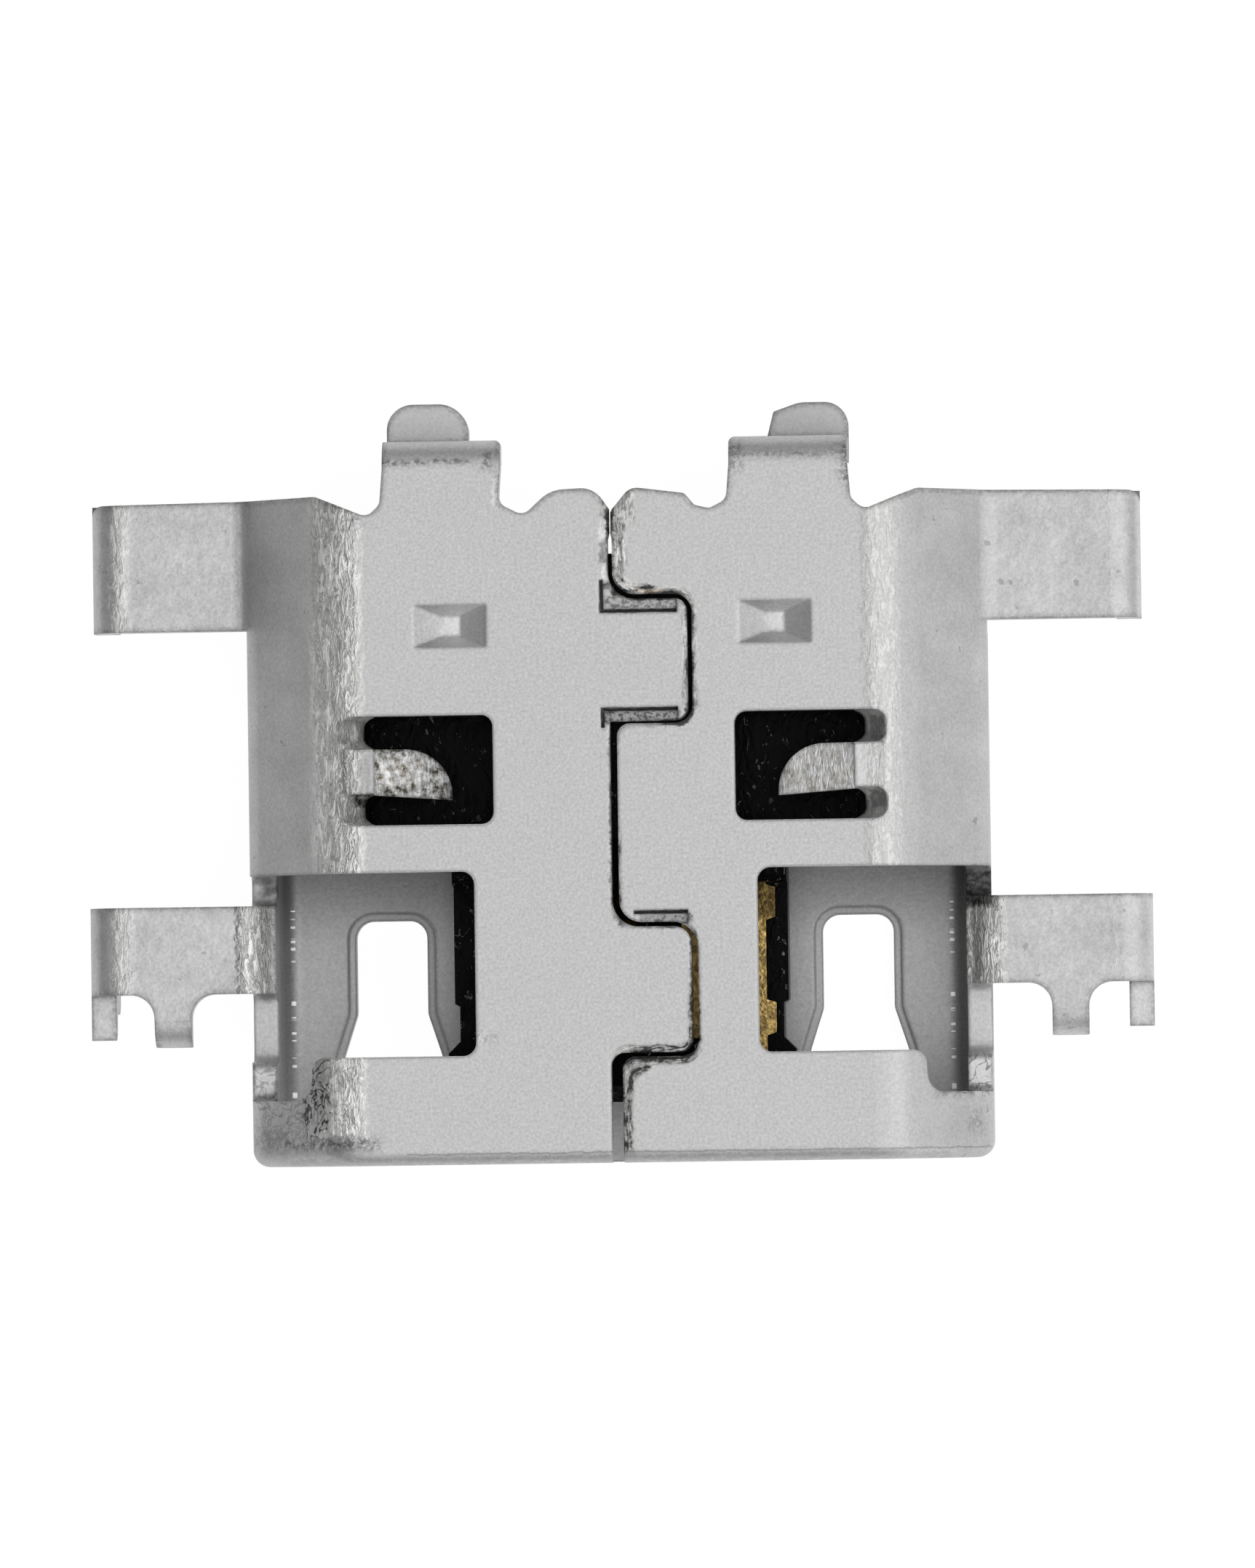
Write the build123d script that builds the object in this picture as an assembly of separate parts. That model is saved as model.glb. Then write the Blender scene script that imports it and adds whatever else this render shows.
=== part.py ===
"""Micro USB type B socket, mid-mount, folded from one sheet around a moulded housing.

The socket lies on its wide face. X runs across the mouth, Y runs from the mouth (low Y)
to the rear, and Z rises from the wide face to the narrow face that carries the seam.
Lengths are millimetres. Y values below are measured from the mouth, and the finished
pieces are moved back by half the overall depth at the end.
"""
from build123d import *
import math
import os

# Sheet and mouth
sheet = 0.25
mouth_width = 6.95
mouth_height = 1.85
slant = 0.945
narrow_bend_inside = 0.30
side_bend_inside = 0.15
wide_bend_inside = 0.20
lip_radius = 0.17

# Lengths along the socket
wing_root_start = 5.395
wide_face_setback = 0.11

# Board level and how far the legs reach below it
board_level = 1.15
leg_length = 0.60
wing_end_bend_inside = 0.05
leg_tip_radius = 0.14

# Rear wings, which run on from the slanted faces
rear_wing_span = 10.56
rear_wing_width = 1.28
rear_wing_crease_radius = 0.26
rear_leg_inset = 0.24
rear_leg_shoulder = 0.20

# Front wings, which bend out from the side walls
front_wing_span = 10.70
front_wing_start = 1.745
front_wing_width = 0.88
front_wing_bend_inside = 0.08
front_leg_lead = 0.45
front_leg_inset = 0.265
front_leg_shoulder = 0.20
pin_shift = -0.0275
pin_width = 0.37
pin_taper = 0.07
pin_length = 0.53
pin_root_radius = 0.24
pin_bend_inside = 0.05

# Large windows beside the tongue
window_inner = 1.41
window_front = 1.085
window_rear_gap = 0.30
window_corner = 0.13
window_step_offset = 0.28
window_step_run = 0.03
window_step_corner = 0.17
window_step_front = 0.665
side_step_height = 1.26
side_relief_height = 0.95
side_relief_start = 1.055
side_relief_radius = 0.10
side_step_round = 0.09

# Latch holes in the wide face
latch_inner = 2.005
latch_width = 0.72
latch_rear = 2.47
latch_front = 0.885
latch_flare = 0.14
latch_flare_straight = 0.21
latch_flare_taper = 0.43
latch_corner = 0.18
corner_share = 0.995
coin_width = 0.08
coin_depth = 0.04

# C-shaped windows, each with a lance bent inwards
lance_window_inner = 1.205
lance_window_front = 3.395
lance_window_corner = 0.12
lance_front_slot = 0.25
lance_width = 0.51
lance_rear_slot = 0.33
lance_reach = 1.00
lance_drop = 0.34
lance_tip_radius = 0.46
lance_root_taper = 0.07
lance_bend_radius = 0.45
lance_root_inset = 0.15
slot_end_radius = 0.12
slot_end_flat = 0.01
slot_end = -0.02
slot_flat_inset = 0.38

# Staking dimples
dimple_centre_x = 1.62
dimple_setback = 0.02
dimple_length = 0.74
dimple_width = 0.43
dimple_floor = 0.20
dimple_depth = 0.17

# Seam: tongues of the left half locked into the right half
seam_gap = 0.07
seam_lock_gap = 0.045
seam_rear_gap = 0.045
seam_front_gap = 0.115
seam_front_shift = 0.01
lock_reach = 0.75
rear_socket_front = 4.375
rear_socket_length = 1.29
front_lock_front = 1.095
front_lock_length = 1.255
lock_side_gap = 0.04
front_socket_slack = 0.02
lock_corner = 0.13
socket_corner = 0.18
socket_root_corner = 0.22
seam_pinch_gap = 0.012
seam_pinch_length = 0.45
pinch_groove_width = 0.045
pinch_groove_depth = 0.15

# Ledges pressed beside the seam, each with a sheared line along its far side
ledge_depth = 0.05
ledge_width = 0.125
ledge_inset = 0.10
lock_ledge_inset = 0.03
ledge_left = 0.085
shear_width = 0.035
shear_depth = 0.16
rear_shear_reach = 0.29
front_shear_reach = 0.20

# Rear edge of the narrow face. Humps: shoulders are measured from the seam, the other
# corners inwards from the tab. Each corner has its height above the wings and its rounding
edge_rise = 0.02
hump_rise = 0.06
seam_mouth_depth = 0.24
shoulder_left = (0.16, 0.25)
shoulder_right = (0.20, 0.16)
hump_left = ((0.495, 0.04, 0.35), (0.225, -0.21, 0.12))
hump_right = ((0.445, -0.01, 0.06), (0.345, -0.13, 0.07), (0.20, -0.165, 0.08))
outer_valley_width = 0.16
valley_depth = 0.20
valley_radius = 0.12
outer_rise_run = 0.53

# Rear tabs and their feet, both a little to the right of the middle
tab_inner = 1.14
tab_width = 1.18
tab_shift = 0.045
tab_root_flare = 0.03
tab_flare_left = -0.025
tab_flare_right = 0.03
tab_reach = 0.56
tab_bend_inside = 0.03
tab_corner = 0.07
foot_inset = 0.36
foot_length = 0.41
foot_bend_inside = 0.05
foot_left = (((0.0, 0.0, 0.30),), 0.26)
foot_right = (((0.07, 0.13, 0.03), (0.33, 0.04, 0.30)), 0.24)

# Moulded housing
housing_clearance = 0.03
housing_front = 3.235
lower_block_setback = 0.05
rear_block_length = 0.85
rear_block_half_width = 2.45
tongue_level = 1.17
tongue_thickness = 0.62
tongue_front = 0.605
tongue_side_margin = 0.135
tongue_waist_inset = 0.05
tongue_head_flare = 0.12
tongue_head_length = 0.51
tongue_head_taper = 0.12
tongue_waist_length = 0.35
tongue_lead_in = 0.16
root_step_length = 0.44
root_step_height = 0.32
pocket_margin = 0.06
pocket_depth = 0.62
housing_edge_radius = 0.12

# Contacts
contact_count = 5
contact_pitch = 0.65
contact_thickness = 0.15
contact_proud = 0.02
contact_row_shift = 0.06
contact_width = 0.20
contact_barb_width = 0.39
barb_setback = 0.05
barb_length = 0.30
barb_spacing = 1.16
barb_taper = 0.03
outer_contact_setback = 0.29
inner_contact_setback = 0.63
tail_width = 0.16
tail_reach = 0.26
jog_setback = 0.35
jog_length = 0.30
jog_radius = 0.20
contact_clearance = 0.01

# Sizes that follow from the ones above
shell_width = mouth_width + 2 * sheet
shell_height = mouth_height + 2 * sheet
half_width = shell_width / 2
narrow_half = half_width - slant
side_height = shell_height - slant
wing_top = board_level + sheet
leg_tip = board_level - leg_length
wide_face_length = wing_root_start - wide_face_setback
rear_wing_rear = wing_root_start + rear_wing_width
front_wing_rear = front_wing_start + front_wing_width
front_wing_reach = front_wing_span / 2
window_rear = front_wing_rear + window_rear_gap
lance_front = lance_window_front + lance_front_slot
lance_rear = lance_front + lance_width
lance_window_rear = lance_rear + lance_rear_slot
hump_level = rear_wing_rear + hump_rise
tab_length = rear_wing_rear + tab_reach
overall_depth = tab_length + foot_length
rear_socket_rear = rear_socket_front + rear_socket_length
front_lock_rear = front_lock_front + front_lock_length
lower_block_rear = wide_face_length - lower_block_setback
housing_rear = lower_block_rear + rear_block_length
contact_row_half = (contact_count - 1) / 2 * contact_pitch + contact_barb_width / 2
tongue_waist_half_width = contact_row_half + tongue_side_margin
tongue_half_width = tongue_waist_half_width + tongue_waist_inset
tail_end = housing_rear + tail_reach
jog_start = housing_front + jog_setback
far_below = -1.0
far_above = shell_height + 1.0


def outline(corners):
    """Face inside a closed run of (x, y, radius) corners."""
    points = [(x, y) for x, y, _ in corners]
    radii = [radius for _, _, radius in corners]
    return make_face(FilletPolyline(*points, radius=radii, close=True))


def right_normal(start, end):
    """Unit vector to the right of the run from start to end."""
    along = (Vector(*end) - Vector(*start)).normalized()
    return Vector(along.Y, -along.X)


def bent_sheet(path, radii, thickness):
    """Section of a bent sheet: its outer surface follows path and it lies to the right."""
    normals = [right_normal(a, b) for a, b in zip(path, path[1:])]
    inner = [Vector(*path[0]) + normals[0] * thickness]
    inner_radii = []
    for point, before, after, radius in zip(path[1:], normals, normals[1:], radii):
        mitre = (before + after) * (1 / (1 + before.dot(after)))
        inner.append(Vector(*point) + mitre * thickness)
        turns_right = before.cross(after).Z < 0
        inner_radii.append(radius - thickness if turns_right else radius + thickness)
    inner.append(Vector(*path[-1]) + normals[-1] * thickness)
    outer_line = FilletPolyline(*path, radius=radii)
    inner_line = FilletPolyline(*inner, radius=inner_radii)
    start_cap = Line(outer_line @ 0, inner_line @ 0)
    end_cap = Line(outer_line @ 1, inner_line @ 1)
    return make_face([*outer_line.edges(), *inner_line.edges(), start_cap, end_cap])


def along_y(section, start, end):
    """Section drawn in (X, Z), run from start to end along Y."""
    return Pos(0, start, 0) * extrude(Plane.XZ * section, amount=start - end)


def along_x(section, start, end):
    """Section drawn in (Y, Z), run from start to end along X."""
    return Pos(start, 0, 0) * extrude(Plane.YZ * section, amount=end - start)


def upward(section, low, high):
    """Outline drawn in (X, Y), run from low to high along Z."""
    return Pos(0, 0, low) * extrude(section, amount=high - low)


def both_sides(solid):
    """The solid and its mirror image on the other side of the seam."""
    return solid + mirror(solid, about=Plane.YZ)


def block(x_range, y_range, z_range):
    """Box between three pairs of limits."""
    size = [high - low for low, high in (x_range, y_range, z_range)]
    middle = [(high + low) / 2 for low, high in (x_range, y_range, z_range)]
    return Pos(*middle) * Box(*size)


def from_top(x_range, y_range, depth):
    """Cutter that goes down into the narrow face by depth."""
    return block(x_range, y_range, (shell_height - depth, far_above))


def mouth_section(inset):
    """Section of the shell in (X, Z), drawn inset from its outer surface."""
    mitre = inset * (2 ** 0.5 - 1)
    half = half_width - inset
    narrow = narrow_half - mitre
    low = inset
    side = side_height - mitre
    top = shell_height - inset
    wide_radius = wide_bend_inside + sheet - inset
    side_radius = side_bend_inside + sheet - inset
    narrow_radius = narrow_bend_inside + sheet - inset
    return outline([
        (-half, low, wide_radius),
        (half, low, wide_radius),
        (half, side, side_radius),
        (narrow, top, narrow_radius),
        (-narrow, top, narrow_radius),
        (-half, side, side_radius),
    ])


def tube():
    """Front part of the shell, wrapped all the way round, with a rounded lip."""
    outside = along_y(mouth_section(0), 0, wing_root_start)
    outside = fillet(outside.edges().filter_by_position(Axis.Y, 0, 0), lip_radius)
    return outside - along_y(mouth_section(sheet), 0, wing_root_start)


def leg_plate(front, rear, inset, shoulder, x_outer):
    """Plate at a wing's outer end, narrowed to a leg with a rounded tip."""
    leg_front = front + inset
    leg_rear = rear - inset
    top = wing_top - wing_end_bend_inside - sheet
    ledge = board_level - shoulder
    section = outline([
        (front, top, 0),
        (front, ledge, leg_tip_radius),
        (leg_front, ledge, leg_tip_radius / 2),
        (leg_front, leg_tip, leg_tip_radius),
        (leg_rear, leg_tip, leg_tip_radius),
        (leg_rear, ledge, leg_tip_radius / 2),
        (rear, ledge, leg_tip_radius),
        (rear, top, 0),
    ])
    return along_x(section, x_outer - sheet, x_outer)


def roof():
    """Rear part of the shell: narrow face, slanted faces and rear wings in one bent strip."""
    reach = rear_wing_span / 2
    crease = half_width - (wing_top - side_height)
    plate_top = wing_top - wing_end_bend_inside - 2 * sheet
    path = [
        (-reach, plate_top),
        (-reach, wing_top),
        (-crease, wing_top),
        (-narrow_half, shell_height),
        (narrow_half, shell_height),
        (crease, wing_top),
        (reach, wing_top),
        (reach, plate_top),
    ]
    end_radius = wing_end_bend_inside + sheet
    narrow_radius = narrow_bend_inside + sheet
    radii = [end_radius, rear_wing_crease_radius, narrow_radius]
    strip = bent_sheet(path, radii + radii[::-1], sheet)
    return along_y(strip, wing_root_start, tab_length) & upward(roof_plan(), 0, far_above)


def roof_plan():
    """Outline of the roof seen from above: humps, valleys and tabs along its rear edge."""
    right = roof_half(tab_shift, tab_flare_right, shoulder_right, hump_right)
    left = roof_half(-tab_shift, tab_flare_left, shoulder_left, hump_left)
    return right + mirror(left, about=Plane.YZ)


def roof_half(shift, inner_flare, shoulder, hump):
    """Right half of the roof's outline, with its tab moved outwards by shift."""
    bend_start = tab_length - tab_bend_inside - sheet
    reach = rear_wing_span / 2
    edge_level = rear_wing_rear + edge_rise
    valley_level = rear_wing_rear - valley_depth
    inner = tab_inner + shift
    outer = inner + tab_width
    outer_valley = outer + outer_valley_width
    shoulder_run, shoulder_round = shoulder
    corners = [
        (0, hump_level - seam_mouth_depth, 0),
        (shoulder_run, hump_level, shoulder_round),
    ]
    corners += [(inner - run, rear_wing_rear + rise, turn) for run, rise, turn in hump]
    corners += [
        (inner - inner_flare, valley_level + valley_radius, valley_radius),
        (inner, bend_start, 0),
        (outer, bend_start, 0),
        (outer + tab_root_flare, valley_level + valley_radius, valley_radius),
        (outer_valley, valley_level, valley_radius),
        (outer_valley + outer_rise_run, edge_level, valley_radius),
        (half_width, edge_level, 0),
        (reach, rear_wing_rear, valley_radius),
        (reach, wing_root_start, 0),
        (0, wing_root_start, 0),
    ]
    return outline(corners)


def rear_legs():
    """Legs under the outer ends of the rear wings."""
    reach = rear_wing_span / 2
    leg = leg_plate(wing_root_start, rear_wing_rear, rear_leg_inset, rear_leg_shoulder, reach)
    return both_sides(leg)


def rear_tab(shift, inner_corners, outer_corner):
    """Right rear tab: bent down over its full width, then a narrower leg and foot."""
    bend = tab_bend_inside + sheet
    start = tab_length - bend
    overlap = start - sheet / 8
    inner = tab_inner + shift
    outer = inner + tab_width
    wide_path = [(overlap, shell_height), (tab_length, shell_height)]
    wide_path.append((tab_length, shell_height - bend - sheet / 4))
    wide = along_x(bent_sheet(wide_path, [bend], sheet), inner, outer)
    wide_plan = outline([
        (inner, overlap, 0),
        (outer, overlap, 0),
        (outer, tab_length, 0),
        (inner, tab_length, tab_corner),
    ])
    wide = wide & upward(wide_plan, 0, far_above)
    foot_top = board_level + sheet
    foot_end = tab_length + foot_length
    foot_inner = inner + foot_inset
    foot_path = [
        (overlap, shell_height),
        (tab_length, shell_height),
        (tab_length, foot_top),
        (foot_end, foot_top),
    ]
    foot_radii = [bend, foot_bend_inside]
    foot = along_x(bent_sheet(foot_path, foot_radii, sheet), foot_inner, outer)
    corners = [(foot_inner + run, foot_end - fall, turn) for run, fall, turn in inner_corners]
    last_fall = inner_corners[-1][1]
    foot_plan = outline([
        (outer, overlap, 0),
        (foot_inner, overlap, 0),
        (foot_inner, tab_length, 0),
        *corners,
        (outer, foot_end - last_fall, outer_corner),
    ])
    return wide + (foot & upward(foot_plan, 0, far_above))


def front_wing():
    """Right front wing with its leg and its forward pin."""
    root_radius = front_wing_bend_inside + sheet
    end_radius = wing_end_bend_inside + sheet
    inside = half_width - sheet
    path = [
        (inside, side_relief_height - sheet),
        (inside, wing_top),
        (front_wing_reach, wing_top),
        (front_wing_reach, wing_top - end_radius - sheet),
    ]
    strip = bent_sheet(path, [root_radius, end_radius], sheet)
    wing = along_y(strip, front_wing_start, front_wing_rear)
    leg_start = front_wing_start - front_leg_lead
    leg = leg_plate(leg_start, front_wing_rear, front_leg_inset, front_leg_shoulder,
                    front_wing_reach)
    return wing + leg + front_pin()


def front_pin():
    """Pin that runs forward from the wing's front edge and bends down."""
    bend = pin_bend_inside + sheet
    pin_centre = (half_width + front_wing_reach) / 2 + pin_shift
    pin_front = front_wing_start - pin_length
    left = pin_centre - pin_width / 2
    right = pin_centre + pin_width / 2
    path = [
        (front_wing_start + sheet, wing_top),
        (pin_front, wing_top),
        (pin_front, leg_tip),
    ]
    flipped = [(-y, z) for y, z in path]
    section = mirror(bent_sheet(flipped, [bend], sheet), about=Plane.YZ)
    front_view = outline([
        (left, wing_top, 0),
        (left, board_level, 0),
        (left + pin_taper, leg_tip, leg_tip_radius / 2),
        (right - pin_taper, leg_tip, leg_tip_radius / 2),
        (right, board_level, 0),
        (right, wing_top, 0),
    ])
    pin = along_x(section, left, right) & along_y(front_view, 0, front_wing_start + 2 * sheet)
    flare = pin_root_radius
    spread = flare + sheet / 8
    web = outline([
        (left - spread, front_wing_start, 0),
        (left - spread, front_wing_start + sheet, 0),
        (right + spread, front_wing_start + sheet, 0),
        (right + spread, front_wing_start, 0),
        (right, front_wing_start, flare),
        (right, front_wing_start - spread, 0),
        (left, front_wing_start - spread, 0),
        (left, front_wing_start, flare),
    ])
    return pin + upward(web, board_level, wing_top)


def large_window():
    """Opening through the narrow face, the slant and the top of the right side wall."""
    beyond = half_width + sheet
    step_start = narrow_half + window_step_offset
    plan = outline([
        (window_inner, window_front, window_corner),
        (step_start, window_front, window_corner),
        (step_start + window_step_run, window_step_front, window_step_corner),
        (beyond, window_step_front, 0),
        (beyond, window_rear, 0),
        (window_inner, window_rear, window_corner),
    ])
    opening = upward(plan, side_step_height, far_above)
    inside = half_width - 2 * sheet
    stretches = ((side_relief_start, front_wing_start), (front_wing_rear, window_rear))
    for start, end in stretches:
        relief = outline([
            (start, side_relief_height, side_relief_radius),
            (end, side_relief_height, side_relief_radius),
            (end, far_above, 0),
            (start, far_above, 0),
        ])
        opening += along_x(relief, inside, beyond)
    return opening - side_step(beyond)


def side_step(beyond):
    """Rounded lump left on the side wall's cut edge, just in front of the relief."""
    lump = outline([
        (window_step_front, side_relief_height, 0),
        (side_relief_start, side_relief_height, 0),
        (side_relief_start, side_step_height + side_step_round, side_step_round),
        (window_step_front, side_step_height + side_step_round, side_step_round),
    ])
    return along_x(lump, half_width - sheet, beyond)


def latch_hole():
    """Hole in the wide face for the plug's right latch, with a coined rim inside."""
    outer = latch_inner + latch_width
    flare_end = latch_front + latch_flare_straight
    flare_start = flare_end + latch_flare_taper
    turn = math.atan2(latch_flare, latch_flare_taper)
    room = latch_flare_straight / (1 + math.tan(turn / 2))
    front_corner = min(latch_corner, corner_share * room)
    plan = outline([
        (latch_inner, latch_rear, latch_corner),
        (latch_inner, flare_start, latch_corner),
        (latch_inner - latch_flare, flare_end, front_corner),
        (latch_inner - latch_flare, latch_front, front_corner),
        (outer + latch_flare, latch_front, front_corner),
        (outer + latch_flare, flare_end, front_corner),
        (outer, flare_start, latch_corner),
        (outer, latch_rear, latch_corner),
    ])
    rim = offset(plan, amount=coin_width)
    return upward(plan, far_below, sheet) + upward(rim, sheet - coin_depth, 2 * sheet)


def lance_window():
    """C-shaped opening round the right lance; its slots end square to the slanted face."""
    flat_end = narrow_half - slot_flat_inset
    opening = upward(outline([
        (lance_window_inner, lance_window_front, lance_window_corner),
        (flat_end, lance_window_front, 0),
        (flat_end, lance_window_rear, 0),
        (lance_window_inner, lance_window_rear, lance_window_corner),
    ]), shell_height - 2 * sheet, far_above)
    on_slant = Plane(origin=(narrow_half, 0, shell_height), x_dir=(1, 0, -1), z_dir=(1, 0, 1))
    back = flat_end - narrow_half - sheet
    front_slot = (lance_window_front, lance_front + lance_root_taper)
    for start, end in (front_slot, (lance_rear, lance_window_rear)):
        end_radius = min(slot_end_radius, (end - start - slot_end_flat) / 2)
        slot = outline([
            (back, start, 0),
            (slot_end, start, end_radius),
            (slot_end, end, end_radius),
            (back, end, 0),
        ])
        opening += extrude(on_slant * slot, amount=2 * sheet, both=True)
    return opening


def lance():
    """Right lance: a tongue of the narrow face bent down into the housing's pocket."""
    root = narrow_half - lance_root_inset
    tip = root - lance_reach
    path = [
        (tip, shell_height - lance_drop),
        (root - sheet / 2, shell_height),
        (root + sheet / 4, shell_height),
    ]
    strip = bent_sheet(path, [lance_bend_radius], sheet)
    plan = outline([
        (tip, lance_front, 0),
        (root, lance_front + lance_root_taper, 0),
        (root + sheet, lance_front + lance_root_taper, 0),
        (root + sheet, lance_rear, 0),
        (tip, lance_rear, lance_tip_radius),
    ])
    return along_y(strip, lance_front, lance_rear) & upward(plan, 0, far_above)


def dimple_form(x_sign, level, grow):
    """Flat-bottomed pyramid that points down from a level of the narrow face."""
    centre = Pos(x_sign * dimple_centre_x, wing_root_start - dimple_setback, level)
    top = Rectangle(dimple_length + 2 * grow, dimple_width + 2 * grow)
    floor = Rectangle(dimple_floor + 2 * grow, dimple_floor + 2 * grow)
    return loft([centre * top, centre * Pos(0, 0, -dimple_depth - grow) * floor])


def seam():
    """Jigsaw slit between the left half and the right half of the narrow face."""
    left = -seam_gap / 2
    right = seam_gap / 2
    rear_right = left + seam_rear_gap
    socket = lock_reach + seam_lock_gap
    front_socket = socket + front_socket_slack
    front_left = -seam_front_shift - seam_front_gap / 2
    front_right = -seam_front_shift + seam_front_gap / 2
    rear_lock_front = rear_socket_front + seam_lock_gap / 2
    rear_lock_rear = rear_socket_rear - seam_lock_gap
    front_socket_rear = front_lock_rear + seam_lock_gap
    front_socket_front = front_lock_front - lock_side_gap
    inner_corner = socket_root_corner + seam_lock_gap
    pinch = seam_pinch_gap / 2
    pinch_middle = left + seam_rear_gap / 2
    pinch_start = hump_level - seam_pinch_length
    gap = outline([
        (pinch_middle - pinch, tab_length, 0),
        (pinch_middle - pinch, pinch_start, 0),
        (left, pinch_start - seam_gap, 0),
        (left, rear_lock_rear, inner_corner),
        (lock_reach, rear_lock_rear, lock_corner),
        (lock_reach, rear_lock_front, lock_corner),
        (left, rear_lock_front, 0),
        (left, front_lock_rear, inner_corner),
        (lock_reach, front_lock_rear, socket_corner),
        (lock_reach, front_lock_front, lock_corner),
        (front_left, front_lock_front, lock_corner),
        (front_left, -sheet, 0),
        (front_right, -sheet, 0),
        (front_right, front_socket_front, lock_corner),
        (front_socket, front_socket_front, socket_corner),
        (front_socket, front_socket_rear, inner_corner),
        (right, front_socket_rear, socket_root_corner),
        (right, rear_socket_front, lock_corner),
        (socket, rear_socket_front, socket_corner),
        (socket, rear_socket_rear, socket_corner),
        (rear_right, rear_socket_rear, socket_root_corner),
        (rear_right, pinch_start - seam_gap, 0),
        (pinch_middle + pinch, pinch_start, 0),
        (pinch_middle + pinch, tab_length, 0),
    ])
    slit = upward(gap, shell_height - 2 * sheet, far_above)
    half_groove = pinch_groove_width / 2
    across = (pinch_middle - half_groove, pinch_middle + half_groove)
    return slit + from_top(across, (pinch_start, tab_length), pinch_groove_depth)


def ledges():
    """Shallow steps pressed into the sheet beside the locks, and their sheared lines."""
    left = -ledge_left
    right = lock_reach - ledge_inset
    middle = seam_lock_gap / 2
    corner = socket_root_corner / 2
    rear_line = rear_socket_rear - middle - ledge_width
    rear_shear = rear_line - shear_width
    front_line = rear_socket_front + ledge_width
    front_shear = front_line + shear_width
    rear_plan = outline([
        (left, rear_line, 0),
        (right, rear_line, 0),
        (right, rear_socket_rear - middle, 0),
        (corner + middle, rear_socket_rear - middle, 0),
        (-middle / 2, rear_socket_rear + corner, 0),
        (left, rear_socket_rear + corner, 0),
    ])
    cut = upward(rear_plan, shell_height - ledge_depth, far_above)
    cut += from_top((left, right), (rear_socket_front + middle / 2, front_line), ledge_depth)
    cut += from_top((left, right), (rear_shear, rear_line), shear_depth)
    cut += from_top((left, right), (front_line, front_shear), shear_depth)
    side = (left - shear_width, left)
    cut += from_top(side, (rear_shear, rear_line + rear_shear_reach), shear_depth)
    cut += from_top(side, (front_shear - front_shear_reach, front_shear), shear_depth)
    lock_line = front_lock_rear + ledge_width
    lock_across = (corner + seam_gap, lock_reach - lock_ledge_inset)
    cut += from_top(lock_across, (front_lock_rear + middle, lock_line), ledge_depth)
    cut += from_top(lock_across, (lock_line, lock_line + shear_width), shear_depth)
    return cut


def make_shell():
    """The one folded sheet: tube, roof, wings, legs, tabs, windows, lances and seam."""
    body = tube() + roof()
    body -= block((-half_width - sheet, half_width + sheet), (wide_face_length, wing_root_start),
                  (far_below, board_level - sheet))
    body -= both_sides(large_window())
    body -= both_sides(latch_hole())
    body -= both_sides(lance_window())
    body -= seam() + ledges()
    body += rear_legs()
    body += both_sides(front_wing())
    body += rear_tab(tab_shift, *foot_right)
    body += mirror(rear_tab(-tab_shift, *foot_left), about=Plane.YZ)
    body += both_sides(lance())
    for side in (-1, 1):
        body += dimple_form(side, shell_height - sheet, 0)
        body -= dimple_form(side, shell_height, 0)
    return body


def tongue_plan():
    """Outline of the tongue seen from above."""
    head = tongue_waist_half_width + tongue_head_flare
    head_rear = tongue_front + tongue_head_length
    waist_front = head_rear + tongue_head_taper
    waist_rear = waist_front + tongue_waist_length
    half = [
        (0, tongue_front, 0),
        (head, tongue_front, tongue_lead_in),
        (head, head_rear, 0),
        (tongue_waist_half_width, waist_front, 0),
        (tongue_waist_half_width, waist_rear, 0),
        (tongue_half_width, waist_rear + barb_taper, 0),
        (tongue_half_width, housing_front + sheet, 0),
        (0, housing_front + sheet, 0),
    ]
    return both_sides(outline(half))


def contact_levels():
    """Undersides of a contact on the tongue and at its tail."""
    on_tongue = tongue_level + contact_proud - contact_thickness
    return on_tongue, board_level


def contact_side(grow, front, end):
    """Side view of a contact in (Y, Z): flat on the tongue, a jog, then the flat tail."""
    on_tongue, at_tail = contact_levels()
    path = [
        (front - grow, on_tongue + contact_thickness + grow),
        (jog_start, on_tongue + contact_thickness + grow),
        (jog_start + jog_length, at_tail + contact_thickness + grow),
        (end + grow, at_tail + contact_thickness + grow),
    ]
    thickness = contact_thickness + 2 * grow
    radius = jog_radius + thickness
    return bent_sheet(path, [radius, radius], thickness)


def contact_plan(grow, front, end):
    """Outline of a contact seen from above, with two pairs of barbs."""
    narrow = contact_width / 2 + grow
    wide = contact_barb_width / 2 + grow
    tail = tail_width / 2 + grow
    barb_front = tongue_front + inner_contact_setback + barb_setback
    half = [(0, front - grow, 0), (narrow, front - grow, 0)]
    for start in (barb_front, barb_front + barb_spacing):
        low = start - grow
        high = start + barb_length + grow
        half += [
            (narrow, low - barb_taper, 0),
            (wide, low, 0),
            (wide, high, 0),
            (narrow, high + barb_taper, 0),
        ]
    half += [
        (narrow, jog_start, 0),
        (tail, jog_start + jog_length, 0),
        (tail, end + grow, 0),
        (0, end + grow, 0),
    ]
    return both_sides(outline(half))


def contact_form(grow, front, end):
    """Contact on the centre line, grown by a clearance on every side."""
    side = along_x(contact_side(grow, front, end), -contact_barb_width, contact_barb_width)
    return side & upward(contact_plan(grow, front, end), far_below, far_above)


def contact_front(index):
    """The two outer contacts reach further forward than the inner ones."""
    outermost = index in (0, contact_count - 1)
    return tongue_front + (outer_contact_setback if outermost else inner_contact_setback)


def contact_place(index):
    """Position of one contact across the tongue."""
    return Pos(contact_row_shift + (index - (contact_count - 1) / 2) * contact_pitch, 0, 0)


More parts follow.
